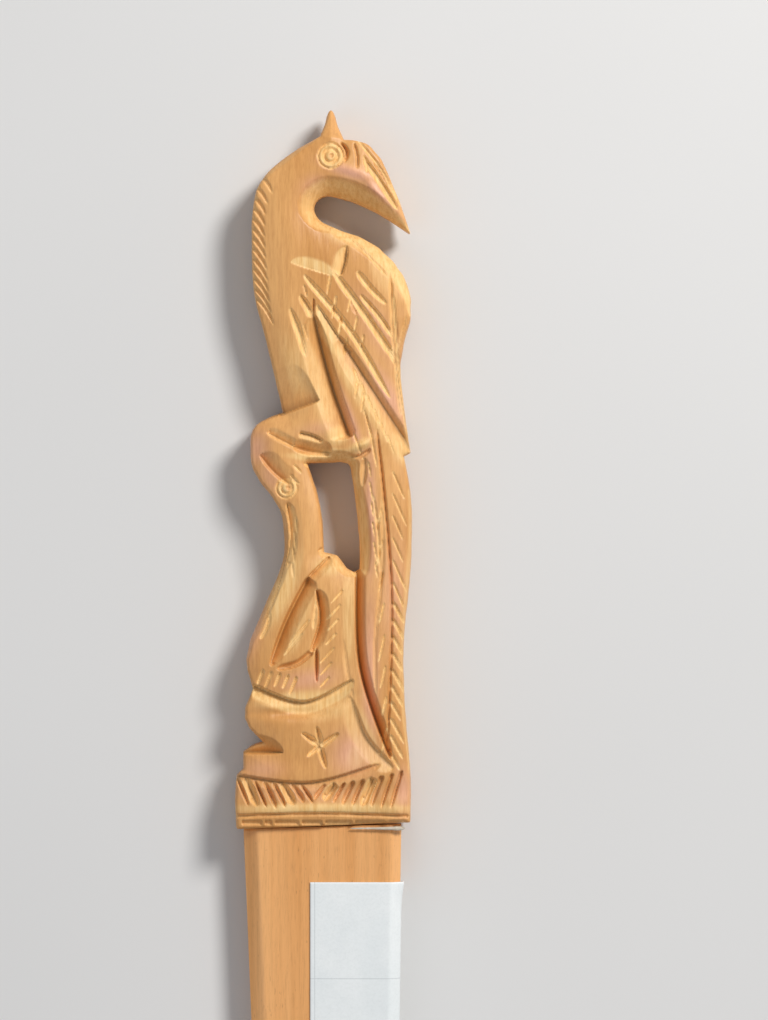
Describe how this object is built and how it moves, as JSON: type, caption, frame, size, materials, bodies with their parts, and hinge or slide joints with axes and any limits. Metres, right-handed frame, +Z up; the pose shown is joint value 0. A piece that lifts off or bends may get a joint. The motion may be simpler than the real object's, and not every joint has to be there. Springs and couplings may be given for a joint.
{
  "type": "paper knife",
  "caption": "Wooden paper knife with a pierced, carved handle in the shape of a crested bird on a smaller bird, a flat bevelled blade and a blank paper label.",
  "frame": {"origin": "middle of the shoulder where the blade leaves the handle, on the surface that the back of the handle rests on; it is also the middle of the box's bottom face", "axes": "+Y along the knife from the blade's tip to the bird's crest, +X across it to the right seen from the carved front, +Z up through its thickness"},
  "size_m": [0.0264, 0.216, 0.009],
  "materials": {
    "carved_wood": "bare carved wood, handled to a soft sheen",
    "blade_wood": "smooth straight-grained wood, satin",
    "clear_glue": "hardened clear glue",
    "label_paper": "matt white label paper"
  },
  "bodies": {
    "root": {"carved_handle": "carved_wood", "blade": "blade_wood", "glue_bead": "clear_glue", "paper_label": "label_paper"}
  },
  "joints": []
}
